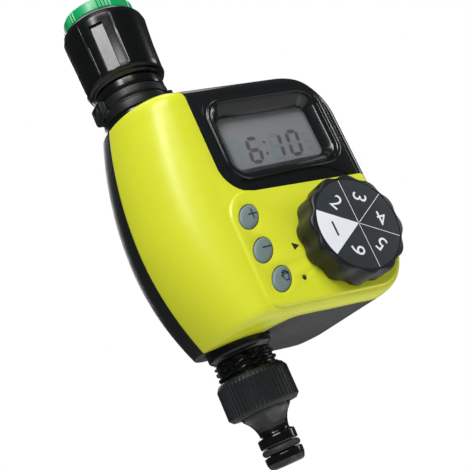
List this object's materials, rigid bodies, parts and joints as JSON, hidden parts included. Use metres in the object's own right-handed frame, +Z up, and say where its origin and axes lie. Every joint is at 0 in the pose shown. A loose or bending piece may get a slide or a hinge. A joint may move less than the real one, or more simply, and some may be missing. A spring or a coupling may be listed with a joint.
{
  "type": "drip irrigation timer",
  "caption": "Single-outlet digital tap watering timer with a display, a program dial, three keys, a threaded inlet and a hose nipple.",
  "frame": {"origin": "centre of the inlet's top rim, on the valve axis, where the tap's spout enters", "axes": "+Z up along the valve axis, against the flow; -Y out of the display; +X towards the control box"},
  "size_m": [0.1066, 0.0886, 0.2218],
  "materials": {
    "front_casing": "satin moulded, lime yellow",
    "display_bezel": "gloss moulded, black",
    "rear_casing": "satin moulded, black",
    "thread_bush": "satin moulded, green",
    "tap_washer": "matte",
    "inlet_washer": "matte",
    "inlet_nut": "gloss moulded, black",
    "filter_screen": "fine wire mesh",
    "inlet_clip": "satin moulded, black",
    "valve_body": "gloss moulded, black",
    "diaphragm": "matte",
    "valve_bonnet": "satin moulded, black",
    "bonnet_screw_1": "bright zinc plated",
    "bonnet_screw_2": "bright zinc plated",
    "bonnet_screw_3": "bright zinc plated",
    "bonnet_screw_4": "bright zinc plated",
    "solenoid_coil": "enamelled copper wire",
    "plunger": "bright zinc plated",
    "plunger_spring": "bright zinc plated",
    "outlet_nut": "satin moulded, black",
    "outlet_washer": "matte",
    "hose_nipple": "gloss moulded, black",
    "nipple_seal": "matte",
    "dial_knob": "satin moulded, black",
    "dial_label": "printed",
    "dial_shaft": "moulded",
    "rotary_switch": "moulded",
    "button_plus": "grey silicone",
    "button_minus": "grey silicone",
    "button_manual": "grey silicone",
    "switch_plus": "satin moulded, black",
    "switch_minus": "satin moulded, black",
    "switch_manual": "satin moulded, black",
    "light_guide": "clear",
    "display_window": "clear acrylic",
    "lcd_panel": "grey reflective liquid crystal glass",
    "circuit_board": "solder mask, green",
    "board_screw_1": "bright zinc plated",
    "board_screw_2": "bright zinc plated",
    "casing_screw_1": "bright zinc plated",
    "casing_screw_2": "bright zinc plated",
    "casing_screw_3": "bright zinc plated",
    "casing_screw_4": "bright zinc plated",
    "casing_screw_5": "bright zinc plated",
    "battery_tray": "satin moulded, black",
    "battery_seal": "matte",
    "battery_1": "printed wrap",
    "battery_2": "printed wrap",
    "contact_spring_1": "bright zinc plated",
    "contact_spring_2": "bright zinc plated",
    "contact_plate_1": "bright zinc plated",
    "contact_plate_2": "bright zinc plated",
    "battery_door": "satin moulded, black",
    "hinge_pin": "bright zinc plated"
  },
  "bodies": {
    "timer_body": {"front_casing": "front_casing", "display_bezel": "display_bezel", "rear_casing": "rear_casing", "inlet_washer": "inlet_washer", "filter_screen": "filter_screen", "inlet_clip": "inlet_clip", "valve_body": "valve_body", "diaphragm": "diaphragm", "valve_bonnet": "valve_bonnet", "bonnet_screw_1": "bonnet_screw_1", "bonnet_screw_2": "bonnet_screw_2", "bonnet_screw_3": "bonnet_screw_3", "bonnet_screw_4": "bonnet_screw_4", "solenoid_coil": "solenoid_coil", "plunger_spring": "plunger_spring", "outlet_washer": "outlet_washer", "hose_nipple": "hose_nipple", "nipple_seal": "nipple_seal", "rotary_switch": "rotary_switch", "switch_plus": "switch_plus", "switch_minus": "switch_minus", "switch_manual": "switch_manual", "light_guide": "light_guide", "display_window": "display_window", "lcd_panel": "lcd_panel", "circuit_board": "circuit_board", "board_screw_1": "board_screw_1", "board_screw_2": "board_screw_2", "casing_screw_1": "casing_screw_1", "casing_screw_2": "casing_screw_2", "casing_screw_3": "casing_screw_3", "casing_screw_4": "casing_screw_4", "casing_screw_5": "casing_screw_5", "battery_tray": "battery_tray", "battery_seal": "battery_seal", "battery_1": "battery_1", "battery_2": "battery_2", "contact_spring_1": "contact_spring_1", "contact_spring_2": "contact_spring_2", "contact_plate_1": "contact_plate_1", "contact_plate_2": "contact_plate_2", "hinge_pin": "hinge_pin"},
    "inlet_swivel": {"inlet_nut": "inlet_nut"},
    "reducer_bush": {"thread_bush": "thread_bush", "tap_washer": "tap_washer"},
    "program_dial": {"dial_knob": "dial_knob", "dial_label": "dial_label", "dial_shaft": "dial_shaft"},
    "plus_key": {"button_plus": "button_plus"},
    "minus_key": {"button_minus": "button_minus"},
    "manual_key": {"button_manual": "button_manual"},
    "outlet_swivel": {"outlet_nut": "outlet_nut"},
    "battery_cover": {"battery_door": "battery_door"},
    "solenoid_plunger": {"plunger": "plunger"}
  },
  "joints": [
    {"name": "inlet_swivel_turn", "type": "hinge", "parent": "timer_body", "child": "inlet_swivel", "pos_m": [0, 0, -0.024], "axis": [0, 0, 1], "continuous": true},
    {"name": "bush_turn", "type": "hinge", "parent": "inlet_swivel", "child": "reducer_bush", "pos_m": [0, 0, -0.01], "axis": [0, 0, 1], "continuous": true},
    {"name": "dial_turn", "type": "hinge", "parent": "timer_body", "child": "program_dial", "pos_m": [0.0467, -0.0374, -0.1455], "axis": [0, -1, 0], "continuous": true},
    {"name": "plus_press", "type": "slide", "parent": "timer_body", "child": "plus_key", "axis": [0, 1, 0], "range_m": [0, 0.001], "stiffness_N_per_m": 600},
    {"name": "minus_press", "type": "slide", "parent": "timer_body", "child": "minus_key", "axis": [0, 1, 0], "range_m": [0, 0.001], "stiffness_N_per_m": 600},
    {"name": "manual_press", "type": "slide", "parent": "timer_body", "child": "manual_key", "axis": [0, 1, 0], "range_m": [0, 0.001], "stiffness_N_per_m": 600},
    {"name": "outlet_nut_turn", "type": "hinge", "parent": "timer_body", "child": "outlet_swivel", "pos_m": [0, 0, -0.19], "axis": [0, 0, 1], "continuous": true},
    {"name": "battery_door_open", "type": "hinge", "parent": "timer_body", "child": "battery_cover", "pos_m": [0.05, 0.0366, -0.1542], "axis": [-1, 0, 0], "range_deg": [0, 110]},
    {"name": "plunger_lift", "type": "slide", "parent": "timer_body", "child": "solenoid_plunger", "axis": [1, 0, 0], "range_m": [0, 0.0015], "stiffness_N_per_m": 300, "deforming": ["plunger_spring"]}
  ]
}
